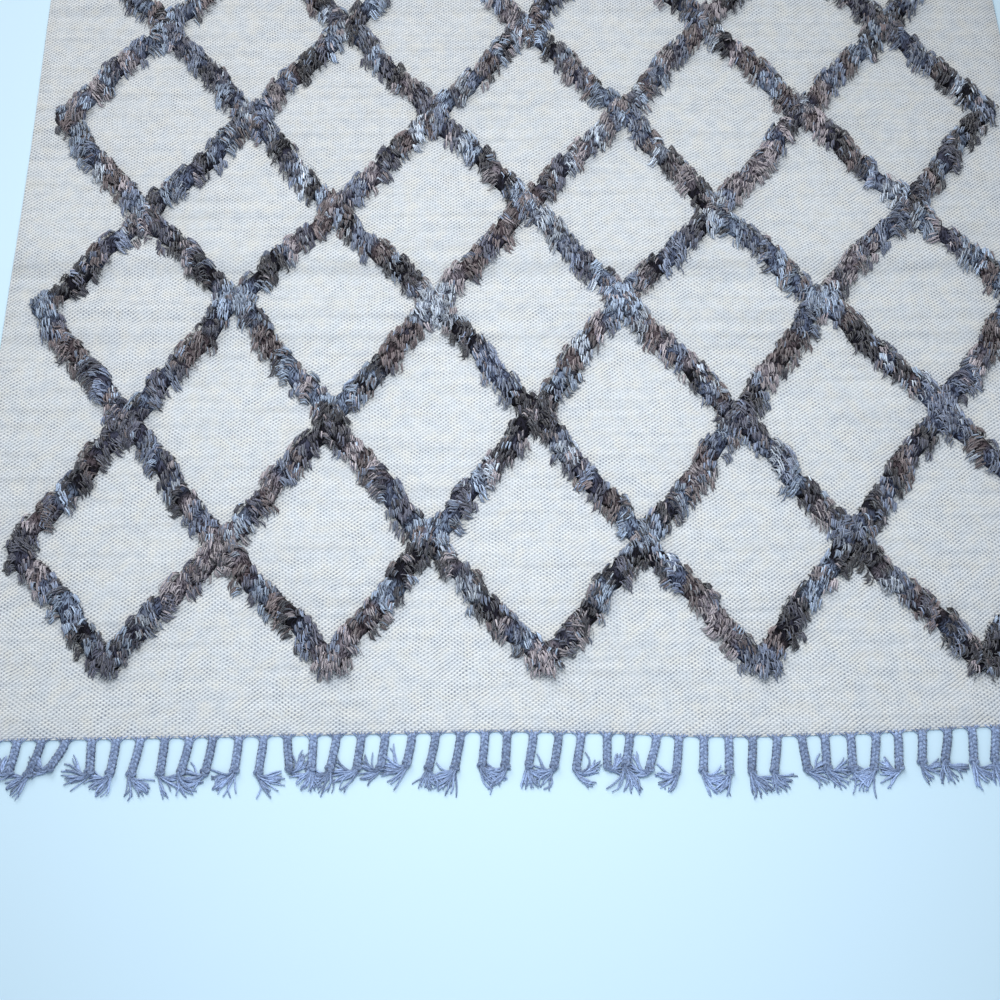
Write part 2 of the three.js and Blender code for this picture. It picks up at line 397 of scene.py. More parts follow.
class Dye:
    """A material under construction: its tree, its surface shader and the way nodes are added."""

    def __init__(self, name: str, roughness: float, sheen: float = 0.0) -> None:
        """Start a material with a matt surface.

        Args:
            name: The material's name.
            roughness: The surface's roughness all over.
            sheen: The weight of its soft sheen all over.
        """
        self.material = bpy.data.materials.new(name)
        self.material.use_nodes = True
        self.tree = self.material.node_tree
        self.tree.nodes.clear()
        matt = {"Roughness": roughness, "Specular IOR Level": 0.2}
        matt |= {"Sheen Weight": sheen, "Sheen Roughness": 0.5}
        self.surface = self.node("ShaderNodeBsdfPrincipled", inputs=matt)
        self.node("ShaderNodeOutputMaterial", inputs={0: self.surface.outputs[0]})

    def node(self, kind: str, settings: dict | None = None, inputs: dict | None = None) -> bpy.types.Node:
        """Add a node.

        Args:
            kind: The node's type.
            settings: Its settings, set before its sockets.
            inputs: Its sockets by name or number, each a link or a value.

        Returns:
            The new node.
        """
        made = self.tree.nodes.new(kind)
        for key, value in (settings or {}).items():
            setattr(made, key, value)
        for key, value in (inputs or {}).items():
            feed(self.tree, made.inputs[key], value)
        return made

    def parts(self, vector: Link) -> list[Wire]:
        """Return the three numbers of a vector."""
        split = self.node("ShaderNodeSeparateXYZ", inputs={0: vector})
        return [Wire(self.tree, socket) for socket in split.outputs]

    def place(self) -> list[Wire]:
        """Return where a point lies on the piece, in metres, as three numbers."""
        return self.parts(self.node("ShaderNodeTexCoord").outputs["Object"])

    def run(self) -> list[Wire]:
        """Return how far round and how far along its strand a point lies."""
        return self.parts(self.node("ShaderNodeUVMap", {"uv_map": "run"}).outputs[0])[:2]

    def tone(self) -> tuple[Link, Wire]:
        """Return the colour painted on a strand, and the strand's own number from 0 to 1."""
        painted = self.node("ShaderNodeVertexColor", {"layer_name": "tone"})
        return painted.outputs["Color"], Wire(self.tree, painted.outputs["Alpha"])

    def joined(self, parts: tuple[Wire | float, ...]) -> Link:
        """Return a vector made of up to three numbers."""
        return self.node("ShaderNodeCombineXYZ", inputs=dict(enumerate(parts))).outputs[0]

    def noise(self, parts: tuple[Wire | float, ...], scale: float, detail: float = 2.0) -> Wire:
        """Return a cloudy noise from about 0.2 to 0.8 at a place given by up to three numbers."""
        inputs = {"Vector": self.joined(parts), "Scale": scale, "Detail": detail}
        return Wire(self.tree, self.node("ShaderNodeTexNoise", inputs=inputs).outputs["Fac"])

    def speckle(self, parts: tuple[Wire | float, ...]) -> Wire:
        """Return a number from 0 to 1 that jumps from one place to the next."""
        inputs = {"Vector": self.joined(parts)}
        made = self.node("ShaderNodeTexWhiteNoise", {"noise_dimensions": "3D"}, inputs)
        return Wire(self.tree, made.outputs["Value"])

    def paint(self, colour: Link | Tint) -> Link | tuple[float, ...]:
        """Return a link as it is, and a screen colour as a colour socket's value."""
        return colour if isinstance(colour, Link) else (*linear(*colour), 1.0)

    def mix(self, share: Wire | float, first: Link | Tint, second: Link | Tint, blend: str = "MIX") -> Link:
        """Return the mix of two colours.

        Args:
            share: How much of the second colour.
            first: A link or a screen colour.
            second: A link or a screen colour.
            blend: The way they blend.

        Returns:
            The link of the mixed colour.
        """
        inputs = {0: share, 6: self.paint(first), 7: self.paint(second)}
        return self.node("ShaderNodeMix", {"data_type": "RGBA", "blend_type": blend}, inputs).outputs[2]

    def colour(self, value: Link | Tint) -> None:
        """Give the surface its colour, a link or a screen colour."""
        feed(self.tree, self.surface.inputs["Base Color"], self.paint(value))

    def bump(self, height: Wire, depth: float) -> None:
        """Raise the surface by a height from 0 to 1 that stands for a depth in metres."""
        made = self.node("ShaderNodeBump", inputs={"Height": height, "Distance": depth, "Strength": 1.0})
        feed(self.tree, self.surface.inputs["Normal"], made.outputs[0])


@dataclass(frozen=True)
class Fold:
    """One soft crease across the rug.

    place_mm is where it crosses the middle line, and height_mm and width_mm are its height and half width.
    The fourth field is how strongly painted shade darkens its near side. slant is how far it falls back for
    each metre to the right, and wander, waves and uneven_waves say how its line and its height change across
    the rug.
    """

    place_mm: float
    height_mm: float
    width_mm: float
    # Strength of the painted shade on the crease's near side.
    crease_shade: float = 0.1
    slant: float = 0.008
    wander: float = 0.003
    waves: float = 7.0
    uneven_waves: float = 3.1

    def lift(self, x: np.ndarray, y: np.ndarray) -> np.ndarray:
        """Return how high the crease stands at points of the cloth, in metres."""
        line = self.place_mm * MM - self.slant * x + self.wander * np.sin(x * self.waves + self.place_mm)
        strength = 0.8 + 0.2 * np.sin(x * self.uneven_waves + self.place_mm * 1.7)
        return self.height_mm * MM * strength * np.exp(-(((y - line) / (self.width_mm * MM)) ** 2))


@dataclass(frozen=True)
class FlatWeave:
    """The ground's finish: off-white beads of weft in a brick layout, with blue-grey warp between them,
    deepened by painted shade.

    wander and lean say how many rows and beads the weft strays, relief is the depth of its bump, and
    gap, seam and worn are the strengths of the warp that shows, of the painted shade at each bead's edges and
    of wear.
    """

    folds: tuple[Fold, ...]
    bead_width: float = 0.0083
    row_height: float = 0.0028
    wander: float = 1.8
    slant: float = -0.18
    lean: float = 1.2
    relief: float = 0.0010
    gap: tuple[float, float, float] = (0.32, 0.42, 0.27)
    # Strength of the painted shade towards each bead's edges, plain and with the patch noise.
    seam: tuple[float, float] = (0.45, 0.25)
    worn: tuple[float, float] = (0.75, 0.35)
    # Where each crease's painted shade sits, in half widths before its middle.
    crease_shade_place: float = 0.8
    weft_tint: Tint = (225, 231, 237)
    shade_tint: Tint = (203, 210, 217)
    bead_edge_shade_tint: Tint = (156, 166, 178)
    cream_tint: Tint = (222, 223, 219)
    cool_tint: Tint = (204, 214, 226)
    warp_and_pit_shade_tint: Tint = (78, 90, 112)
    # A grey for the weft's random streaks, and for the painted shade of the creases.
    streak_and_crease_shade_tint: Tint = (196, 200, 206)

    def material(self) -> bpy.types.Material:
        """Return the finish as a material; a noise's third number only sets it apart from the others."""
        dye = Dye("ground_weave", roughness=0.9, sheen=0.15)
        x, y, _ = dye.place()
        sway = dye.noise((x, y), 30.0) - 0.5
        bend = dye.noise((x, y, 3.0), 20.0) - 0.5
        rows = y / self.row_height + bend * self.wander
        row = rows.floor()
        lean = (dye.noise((x, y, 7.0), 24.0) - 0.5) * self.lean + self.slant
        beads = x / self.bead_width + sway + (row * 0.5).fraction() + (rows.fraction() - 0.5) * lean
        across = abs(beads.fraction() - 0.5) * 2.0
        over = abs(rows.fraction() - 0.5) * 2.0
        pick = dye.speckle((beads.floor(), row))
        yarn = dye.noise((x * 7.0, row * 0.37), 1.0, 3.0).ramp(0.2, 0.75)
        colour = dye.mix(yarn * 0.5 + 0.5 * pick, self.shade_tint, self.weft_tint)
        cloud = dye.noise((x, y, 17.0), 45.0)
        colour = dye.mix(cloud.ramp(0.42, 0.72) * 0.6, colour, self.cream_tint)
        colour = dye.mix(cloud.ramp(0.5, 0.25) * 0.5, colour, self.cool_tint)
        patch = dye.noise((x, y, 11.0), 60.0, 3.0).ramp(0.35, 0.7)
        # Painted shade: each bead darkens towards its edges, where it rounds down between its neighbours.
        seam = 1.0 - (1.0 - across ** 2.0) * (1.0 - over ** 2.0 * 0.6)
        colour = dye.mix(seam * (self.seam[0] + self.seam[1] * patch), colour, self.bead_edge_shade_tint)
        worn = dye.noise((x, y, 23.0), 13.0).ramp(0.32, 0.62)
        # The warp that shows in the pits between beads, deepened by painted shade there; more shows where the
        # weft is worn.
        gap = across.ramp(0.5, 1.0) * over.ramp(1.2, 0.2)
        gap = gap * (self.gap[0] + self.gap[1] * pick + self.gap[2] * patch)
        colour = dye.mix(gap * (self.worn[0] + self.worn[1] * worn), colour, self.warp_and_pit_shade_tint)
        # Painted shade along the near side of each crease, on the slope that faces away from the window
        # light.
        for fold in self.folds:
            middle = (fold.place_mm - self.crease_shade_place * fold.width_mm) * MM
            aside = abs(y + x * fold.slant - middle + sway * 0.006)
            crease_shade_mask = aside.ramp(fold.width_mm * MM, 0.0) * fold.crease_shade * (0.5 + cloud)
            colour = dye.mix(crease_shade_mask, colour, self.streak_and_crease_shade_tint, "MULTIPLY")
        # Long grey streaks along the weft, a tone that differs at random.
        streak = dye.noise((x * 1.6, y * 26.0, 41.0), 3.0, 3.0)
        dye.colour(dye.mix(streak.ramp(0.45, 0.75) * 0.22, colour, self.streak_and_crease_shade_tint, "MULTIPLY"))
        fibre = dye.noise((x * 0.4, y), 1400.0)
        dye.bump((1.0 - seam) * 0.85 + fibre * 0.15, self.relief)
        return dye.material


@dataclass(frozen=True)
class ShagWool:
    """The pile's finish: soft locks of fine yarns that run along them, some pale, some dark, with painted
    shade on their sides.
    """

    yarns_around: float = 8.0
    streaks_per_metre: float = 45.0
    pale_share: float = 0.22
    relief: float = 0.0012
    # Tint of the painted shade down each lock's sides.
    edge: Tint = (205, 205, 214)
    dark: Tint = (128, 126, 140)
    pale: Tint = (196, 204, 216)

    def material(self) -> bpy.types.Material:
        """Return the finish as a material."""
        dye = Dye("pile_wool", roughness=0.85, sheen=0.3)
        around, along = dye.run()
        tone, own = dye.tone()
        hair = dye.noise((around * self.yarns_around, along * self.streaks_per_metre, own * 999.0), 1.0, 1.0)
        streak = hair.ramp(0.38, 0.62)
        # Painted shade: each lock darkens from the ridge on its top down its sides.
        ridge = abs(around - 0.5) * 2.0
        shaded = dye.mix(1.0 - ridge.ramp(0.1, 0.75), tone, self.edge, "MULTIPLY")
        colour = dye.mix(1.0 - streak, shaded, self.dark, "MULTIPLY")
        dye.colour(dye.mix(streak.ramp(0.7, 1.0) * self.pale_share, colour, self.pale))
        dye.bump(hair, self.relief)
        return dye.material


@dataclass(frozen=True)
class PileHeart:
    """The finish of the depth between the roots of the pile: its wool's tones darkened by painted shade, more
    in the gaps of its hair.
    """

    sway: float = 0.02
    hair_scale: float = 150.0
    relief: float = 0.002
    # Painted shade over the whole heart, and deeper painted shade in the gaps of its hair.
    shade: Tint = (186, 186, 195)
    depth: Tint = (82, 80, 90)

    def material(self) -> bpy.types.Material:
        """Return the finish as a material."""
        dye = Dye("pile_heart", roughness=0.95)
        tone, _ = dye.tone()
        x, y, z = dye.place()
        sway = dye.noise((x, y, z), 60.0, 1.0) * self.sway
        hair = dye.noise(((x + sway) * 5.0, y, z), self.hair_scale, 1.0)
        # Painted shade: the heart's wool is darkened all over, and more where its hair noise is low.
        colour = dye.mix(1.0, tone, self.shade, "MULTIPLY")
        dye.colour(dye.mix(hair.ramp(0.6, 0.4), colour, self.depth, "MULTIPLY"))
        dye.bump(hair, self.relief)
        return dye.material


@dataclass(frozen=True)
class WarpYarn:
    """The fringe's finish: blue-grey twisted yarn, with painted light on the top of each yarn and painted
    shade on its sides.
    """

    plies: float = 3.0
    twist_per_metre: float = 1500.0
    relief: float = 0.0006
    light: Tint = (162, 186, 227)
    dark: Tint = (38, 54, 96)

    def material(self) -> bpy.types.Material:
        """Return the finish as a material."""
        dye = Dye("warp_yarn", roughness=0.85, sheen=0.2)
        around, along = dye.run()
        tone, own = dye.tone()
        twist = (around * (2 * math.pi * self.plies) + along * self.twist_per_metre).sine() * 0.5 + 0.5
        hair = dye.noise((around * 5.0, along * 180.0, own * 99.0), 1.0)
        # Painted light and shade: the top of each yarn is lighter and its sides darker.
        crown = (around * (2 * math.pi)).cosine().ramp(-0.2, 0.8)
        fleck_and_top_light = 0.15 * twist + 0.5 * hair.ramp(0.32, 0.66) + 0.35 * crown
        colour = dye.mix(fleck_and_top_light, self.dark, self.light)
        dye.colour(dye.mix(1.0, colour, tone, "MULTIPLY"))
        dye.bump(twist * 0.7 + hair * 0.3, self.relief)
        return dye.material


@dataclass(frozen=True)
class PaleFloor:
    """The finish of the floor under the rug."""

    tint: Tint = (196, 224, 243)

    def material(self) -> bpy.types.Material:
        """Return the finish as a material."""
        dye = Dye("pale_floor", roughness=0.8)
        dye.colour(self.tint)
        return dye.material


def finish_piece(piece: Piece, finish: bpy.types.Material, node: str) -> Piece:
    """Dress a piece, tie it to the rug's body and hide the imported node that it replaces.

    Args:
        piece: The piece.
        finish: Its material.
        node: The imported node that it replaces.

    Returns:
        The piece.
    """
    piece.data.materials.clear()
    piece.data.materials.append(finish)
    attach(piece, BODY)
    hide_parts(node)
    piece.data.calc_loop_triangles()
    LOG.info("%s: %d triangles", piece.name, len(piece.data.loop_triangles))
    return piece


@dataclass
class GroundCloth:
    """The flat-woven ground: one sheet with wandering edges and the soft folds of its storage.

    near_end_mm says how far the near end stands out past its straight line, as pairs of a place across the
    rug and a distance. The cloth lies flat again at edge_fade from its rim.
    """

    width: float = 1.600
    length: float = 2.300
    thickness: float = 0.005
    rim: float = 0.0012
    rim_steps: int = 2
    rim_angle: float = math.radians(60)
    end_worn: float = 0.0020
    end_worn_reach: float = 0.006
    cells_across: int = 64
    cells_along: int = 184
    selvedge_wave: float = 0.0025
    selvedge_swells: float = 3.0
    selvedge_ripple_mm: float = 200.0
    near_end_mm: tuple[tuple[float, float], ...] = (
        (-800, 1), (-460, 0), (-260, -1), (-60, -2), (100, 3),
        (190, 8), (280, 10), (430, 8), (590, 1), (800, 1),
    )
    folds: tuple[Fold, ...] = (
        Fold(-548, 4.5, 13, 0.18),
        Fold(-508, 6.0, 17, 0.10),
        Fold(-418, 7.0, 25, 0.26),
        Fold(75, 4.0, 15),
        Fold(122, 5.0, 20),
        Fold(640, 4.0, 14),
        Fold(683, 5.0, 18),
    )
    spine_height: float = 0.0012
    spine_width: float = 0.02
    ripple: float = 0.0004
    edge_fade: float = 0.04

    def end_out(self, x: np.ndarray) -> np.ndarray:
        """Return how far the near end stands out past its straight line at x, in metres."""
        place, out = np.array(self.near_end_mm).T * MM
        return np.interp(x, place, out)

    def selvedge_out(self, share: np.ndarray) -> np.ndarray:
        """Return how far the right selvedge stands out at shares of the length, in metres."""
        swell = np.sin(share * self.selvedge_swells * np.pi)
        return self.selvedge_wave * swell * np.sin(share * self.length / MM / self.selvedge_ripple_mm)

    def shaped(self, points: np.ndarray) -> np.ndarray:
        """Lay the even sheet out to the cloth's real outline, with its folds.

        Args:
            points: Points of the flat sheet, (count, 3).

        Returns:
            The points where the cloth has them.
        """
        x, y, z = points.T
        half = self.length / 2
        near = -half - self.end_out(x)
        far = half + self.end_out(-x)
        share = (y + half) / self.length
        edge = np.where(x > 0, self.selvedge_out(share), -self.selvedge_out(1 - share))
        worn = self.end_worn * np.clip(1 - (half - np.abs(y)) / self.end_worn_reach, 0, 1)
        moved_x = x + edge * np.abs(x) / (self.width / 2)
        moved_y = near + share * (far - near)
        return np.stack([moved_x, moved_y, z - worn + self.fold_lift(x, y)], axis=1)

    def fold_lift(self, x: np.ndarray, y: np.ndarray) -> np.ndarray:
        """Return how high its folds, spine and ripples lift the cloth off the floor at each point."""
        lift = sum(fold.lift(x, y) for fold in self.folds)
        lift += self.spine_height * np.exp(-((x / self.spine_width) ** 2)) * (0.6 + 0.4 * np.sin(y * 5))
        lift += self.ripple * (1 + np.sin(x * 23 + 2 * np.sin(y * 9)) * np.sin(y * 31 + np.sin(x * 7)))
        inside = np.minimum(self.width / 2 - np.abs(x), self.length / 2 - np.abs(y))
        return lift * np.clip(inside / self.edge_fade, 0, 1)

    def build(self) -> Piece:
        """Make the sheet.

        Returns:
            The cloth, at the origin.
        """
        deselect_all()
        cells = {"x_subdivisions": self.cells_across, "y_subdivisions": self.cells_along}
        bpy.ops.mesh.primitive_grid_add(size=1, location=(0, 0, 0), **cells)
        cloth = bpy.context.object
        cloth.name = cloth.data.name = "ground_cloth"
        bpy.ops.object.mode_set(mode="EDIT")
        bpy.ops.mesh.select_all(action="SELECT")
        bpy.ops.transform.resize(value=(self.width, self.length, 1))
        bpy.ops.transform.translate(value=(0, 0, self.thickness))
        bpy.ops.object.mode_set(mode="OBJECT")
        moved = self.shaped(points_of(cloth).astype(float))
        cloth.data.vertices.foreach_set("co", in_a_row(moved))
        layer = cloth.modifiers.new("thickness", "SOLIDIFY")
        layer.thickness = self.thickness
        layer.offset = -1
        rounding = cloth.modifiers.new("rim", "BEVEL")
        rounding.width = self.rim
        rounding.segments = self.rim_steps
        rounding.limit_method = "ANGLE"
        rounding.angle_limit = self.rim_angle
        for modifier in (layer.name, rounding.name):
            bpy.ops.object.modifier_apply(modifier=modifier)
        points = points_of(cloth)
        points[:, 2] = np.maximum(points[:, 2], 0)
        cloth.data.vertices.foreach_set("co", in_a_row(points))
        bpy.ops.object.shade_smooth()
        deselect_all()
        return cloth


class Wool(Enum):
    """The tones of the space-dyed pile yarn, as screen colours."""

    SOOT = (46, 46, 60)
    CHARCOAL = (92, 96, 116)
    BARK = (128, 116, 118)
    SLATE = (134, 150, 178)
    TAUPE = (180, 173, 179)
    STEEL = (172, 194, 220)
    SILVER = (206, 222, 238)

    def tone(self) -> np.ndarray:
        """Return the linear colour."""
        return linear(*self.value)


@dataclass(frozen=True)
class Patch:
    """A round patch of pile that stands out by its tone: its reach and its place by a crossing, in mm."""

    wool: Wool
    reach: float
    right: float = 0
    up: float = 0


@dataclass(frozen=True)
class Landmark:
    """The patches at one crossing; a later one lies over an earlier one."""

    row: int
    crossing: int
    patches: list[Patch]


@dataclass
class Clumps:
    """The clumps that a band's pile falls into: where they part, and their dye, lean, curl and shade."""

    parting: np.ndarray
    dye: np.ndarray
    lean: np.ndarray
    curl: np.ndarray
    shade: np.ndarray

    def at(self, place: np.ndarray) -> tuple[np.ndarray, np.ndarray]:
        """Find the clump at places along the band.

        Args:
            place: Distances along the band, in metres.

        Returns:
            The clumps' numbers, and how far from their middles the places lie, from -1 to 1.
        """
        number = np.clip(np.searchsorted(self.parting, place) - 1, 0, len(self.dye) - 1)
        start, end = self.parting[number], self.parting[number + 1]
        return number, np.clip(2 * (place - start) / (end - start) - 1, -1, 1)


@dataclass
class ShaggyPile:
    """The pile: tufts of wool locks knotted along every band of the lattice, over a shaded heart.

    lanes are the rows of tufts in a band, from -1 at its far edge to 1 at its near edge, and sways are the
    sizes and the waves of what makes a band wander. A lock is a line through its root and three bends:
    bends says how much of its reach lies before each one, curls how much of its curl shows there, and
    least_heights how high each one stands at least. swell and ring_shade are a lock's width and shade at
    its root and bends. landmarks are tones read from the photo.
    """

    lattice: Lattice
    cloth: GroundCloth
    base: float = 0.005
    crown: float = 0.0175
    half_width: float = 0.0250
    root_half_width: float = 0.0168
    far_limit: float = 0.0180
    near_limit: float = 0.0205
    far_shift: float = 0.0006
    tufts_per_metre: float = 268.0
    lanes: tuple[float, ...] = (-1.0, 0.15, -0.45, 0.75)
    sways: tuple[tuple[float, float], ...] = ((0.003, 9), (0.002, 23))
    locks_per_tuft: int = 6
    lock_length: float = 0.0222
    lock_width: float = 0.0031
    lock_height: float = 0.0019
    lock_pitch: float = 0.0020
    lock_fan: float = 6.0
    root_sunk: float = 0.0005
    bends: tuple[float, ...] = (0.32, 0.74, 1.02)
    curls: tuple[float, ...] = (0.5, 0.9, -0.2)
    least_heights: tuple[float, ...] = (0.0065, 0.0028, 0.0014)
    swell: tuple[float, ...] = (0.7, 1.0, 0.95, 0.0)
    # Painted shade along each lock: darkest at the root, deep in the pile, and a little darker at the tip.
    ring_shade: tuple[float, ...] = (0.6, 1.0, 1.0, 0.85)
    clump_length: float = 0.021
    spare_length: float = 0.06
    closing: float = 0.22
    stray_share: float = 0.12
    stray_lift: float = 0.0012
    odd_share: float = 0.10
    partner_share: float = 0.22
    partner_odd_share: float = 0.75
    outward: float = 0.35
    least_outward: float = 0.30
    tip_reach: float = 0.011
    heart_half_width: float = 0.0150
    heart_height: float = 0.0128
    heart_overlap: float = 0.03
    heart_sunk: float = 0.001
    heart_rings: int = 19
    heart_corners: int = 8
    pieces: int = 4
    gain: float = 1.28
    comb: tuple[float, float] = (0.0, -1.0)
    mixing: tuple[tuple[Wool, float], ...] = (
        (Wool.SOOT, 0.15),
        (Wool.CHARCOAL, 0.18),
        (Wool.BARK, 0.14),
        (Wool.SLATE, 0.19),
        (Wool.TAUPE, 0.15),
        (Wool.STEEL, 0.13),
        (Wool.SILVER, 0.06),
    )
    landmarks: tuple[Landmark, ...] = (
        Landmark(0, 0, [Patch(Wool.CHARCOAL, 30), Patch(Wool.STEEL, 30, -60, 70)]),
        Landmark(0, 1, [Patch(Wool.TAUPE, 30)]),
        Landmark(0, 2, [Patch(Wool.TAUPE, 30)]),
        Landmark(0, 3, [Patch(Wool.SLATE, 35)]),
        Landmark(0, 4, [Patch(Wool.SOOT, 45)]),
        Landmark(1, 0, [Patch(Wool.CHARCOAL, 40)]),
        Landmark(1, 1, [Patch(Wool.TAUPE, 38)]),
        Landmark(1, 2, [
            Patch(Wool.STEEL, 30, 0, 20), Patch(Wool.SOOT, 36, -10, -30), Patch(Wool.STEEL, 22, -60, -75),
            Patch(Wool.SILVER, 20, 52, -70),
        ]),
        Landmark(1, 3, [
            Patch(Wool.STEEL, 34, 0, 10), Patch(Wool.SOOT, 32, -5, -38), Patch(Wool.STEEL, 22, -60, -80),
        ]),
        Landmark(1, 4, [
            Patch(Wool.SLATE, 34, 0, 10), Patch(Wool.SOOT, 38, 0, -40), Patch(Wool.STEEL, 22, -55, -82),
            Patch(Wool.SILVER, 20, 48, -75),
        ]),
        Landmark(2, 0, [Patch(Wool.STEEL, 28, 0, 30), Patch(Wool.CHARCOAL, 36, 0, -8)]),
        Landmark(2, 1, [Patch(Wool.STEEL, 28, 0, 32), Patch(Wool.SOOT, 34, 0, -10)]),
        Landmark(2, 2, [
            Patch(Wool.STEEL, 28, 45, 48), Patch(Wool.SOOT, 46), Patch(Wool.SILVER, 20, 52, -55),
        ]),
        Landmark(2, 3, [Patch(Wool.CHARCOAL, 34), Patch(Wool.SLATE, 36, 0, -50)]),
        Landmark(2, 4, [Patch(Wool.SLATE, 48)]),
        Landmark(3, 0, [
            Patch(Wool.STEEL, 32), Patch(Wool.SOOT, 40, 45, 50), Patch(Wool.BARK, 34, 52, -65),
        ]),
        Landmark(3, 1, [
            Patch(Wool.SOOT, 30, -48, 45), Patch(Wool.SOOT, 30, 52, 48), Patch(Wool.BARK, 34, -62, -78),
            Patch(Wool.BARK, 34, 60, -70), Patch(Wool.STEEL, 36),
        ]),
        Landmark(3, 2, [
            Patch(Wool.SOOT, 34, -55, 52), Patch(Wool.BARK, 34, -62, -70), Patch(Wool.SOOT, 30, 50, -55),
            Patch(Wool.SILVER, 42),
        ]),
        Landmark(3, 3, [Patch(Wool.STEEL, 30)]),
        Landmark(3, 4, [
            Patch(Wool.STEEL, 28), Patch(Wool.BARK, 34, -58, -78), Patch(Wool.SOOT, 38, 60, -62),
        ]),
    )
    draw: np.random.Generator = field(default_factory=lambda: np.random.default_rng(SEED))

    def __post_init__(self) -> None:
        """Draw the clumps of every band."""
        self.bands = self.lattice.bands()
        self.crossings = self.lattice.crossings()
        chances = np.array([chance for _, chance in self.mixing])
        self.chances = chances / chances.sum()
        self.wools = [wool for wool, _ in self.mixing]
        self.tones = np.array([wool.tone() for wool in self.wools])
        self.clumps = [self.clumped(band) for band in self.bands]

    def clumped(self, band: Band) -> Clumps:
        """Draw the clumps of one band, with some to spare past both ends.

        Args:
            band: The band.

        Returns:
            Its clumps.
        """
        draw = self.draw
        shortest, longest = 0.7, 1.4
        count = int((band.length + 2 * self.spare_length) / (shortest * self.clump_length)) + 2
        ends = np.cumsum(draw.uniform(shortest, longest, count + 1))
        parting = ends * self.clump_length - self.spare_length
        dye = draw.choice(len(self.tones), count, p=self.chances)
        lean = np.clip(draw.normal(0, 0.62, count), -1.3, 1.3)
        curl = draw.choice([-1, 1], count) * draw.uniform(0.0010, 0.0056, count)
        return Clumps(parting, dye, lean, curl, draw.uniform(0.72, 1.36, count))

    def sway(self, band: Band, share: np.ndarray) -> np.ndarray:
        """Return how far a band wanders sideways at shares of its length."""
        turned = enumerate(self.sways, 1)
        return sum(size * np.sin(share * waves + turn * band.number) for turn, (size, waves) in turned)

    def line(self, band: Band, share: np.ndarray) -> np.ndarray:
        """Return the points of a band's middle line at shares of its length."""
        straight = band.start + share[:, None] * (band.end - band.start)
        return straight + self.sway(band, share)[:, None] * band.down

    def ground(self, points: np.ndarray) -> np.ndarray:
        """Return how high the cloth's upper side lies at points of the plan."""
        return self.base + self.cloth.fold_lift(points[:, 0], points[:, 1])

    def dyed(self, band: Band, number: np.ndarray, place: np.ndarray, odd: float) -> np.ndarray:
        """Choose the tone of the wool: it changes from clump to clump, and at the landmarks.

        Args:
            band: The band.
            number: The clump of each tuft.
            place: The plan of each tuft.
            odd: The share of tufts with another tone.

        Returns:
            One colour for each tuft.
        """
        own = self.clumps[band.number].dye[number]
        for mark, patch in ((mark, patch) for mark in self.landmarks for patch in mark.patches):
            centre = self.crossings[mark.row][mark.crossing] + np.array([patch.right, patch.up]) * MM
            reach = patch.reach * MM * self.draw.uniform(0.8, 1.12, len(place))
            near = np.linalg.norm(place - centre, axis=1) < reach
            own = np.where(near, self.wools.index(patch.wool), own)
        other = self.draw.random(len(place)) < odd
        own = np.where(other, self.draw.choice(len(self.tones), len(place), p=self.chances), own)
        return self.tones[own]

    def height(self, band: Band, points: np.ndarray) -> np.ndarray:
        """Return how high the rounded band stands above the cloth at points of its plan."""
        share = np.clip((points - band.start) @ band.along / band.length, 0, 1)
        depth = (points - self.line(band, share)) @ band.down
        return self.crown * np.sqrt(np.clip(1 - (depth / self.half_width) ** 2, 0, 1))

    def combed(self, band: Band, depth: np.ndarray, aslant: np.ndarray) -> np.ndarray:
        """Work out which way each tuft lies: down the rug, a little outwards, and not over the far edge.

        Args:
            band: The band.
            depth: How far each tuft's root lies from the middle line towards the near end.
            aslant: How far each tuft leans along the band, as a share of its reach.

        Returns:
            The direction of each tuft in plan.
        """
        heading = (depth / self.root_half_width * self.outward)[:, None] * band.down
        heading = unit(heading + np.array(self.comb) + aslant[:, None] * band.along)
        back = np.minimum(heading @ band.down - self.least_outward, 0) * (depth < 0.5 * self.root_half_width)
        return unit(heading - 1.6 * back[:, None] * band.down)

    def locks_of(self, band: Band) -> dict[str, np.ndarray]:
        """Lay out the locks of one band.

        Args:
            band: The band.

        Returns:
            For each lock the points of its middle line, its sideways direction, its size and its tone.
        """
        draw = self.draw
        clumps = self.clumps[band.number]
        tufts = int(band.length * self.tufts_per_metre)
        order = np.arange(tufts)
        share = (order + 0.5 + draw.uniform(-0.9, 0.9, tufts)) / tufts
        if band.row == 0:
            share = share * (1 + self.tip_reach / band.length) - self.tip_reach / band.length
        lane = np.array(self.lanes)[order % len(self.lanes)] + draw.normal(0, 0.13, tufts)
        depth = lane * self.root_half_width - self.far_shift
        comb = np.array(self.comb)
        slope = np.clip((comb @ band.along) / (comb @ band.down), -0.8, 0.8)
        number, off = clumps.at(share * band.length - depth * slope + draw.normal(0, 0.0012, tufts))
        aslant = clumps.lean[number] - self.closing * off + draw.normal(0, 0.12, tufts)
        ahead = self.combed(band, depth, aslant)
        root = self.line(band, share) + depth[:, None] * band.down
        # Painted shade: tufts darken towards the partings between clumps; the rest is each clump's and tuft's
        # own tone.
        shade = clumps.shade[number] * (1.06 - 0.30 * np.abs(off) ** 3) * draw.uniform(0.85, 1.18, tufts)
        tones = self.dyed(band, number, root, self.odd_share) * shade[:, None]
        partners = self.dyed(band, number, root, self.partner_odd_share) * shade[:, None]

        each = self.locks_per_tuft
        count = tufts * each
        shared = (ahead, root, tones, partners, number, off)
        ahead, root, tones, partners, number, off = (np.repeat(part, each, axis=0) for part in shared)
        level = np.stack([-ahead[:, 1], ahead[:, 0]], 1)
        place = np.tile(np.arange(each) - (each - 1) / 2, tufts) * self.lock_pitch
        place = place + draw.normal(0, 0.0005, count)
        root = root + place[:, None] * level + draw.normal(0, 0.0022, (count, 1)) * ahead
        share = (root - band.start) @ band.along / band.length
        depth = (root - self.line(band, share)) @ band.down
        root = root + (np.clip(depth, -self.far_limit, self.near_limit) - depth)[:, None] * band.down

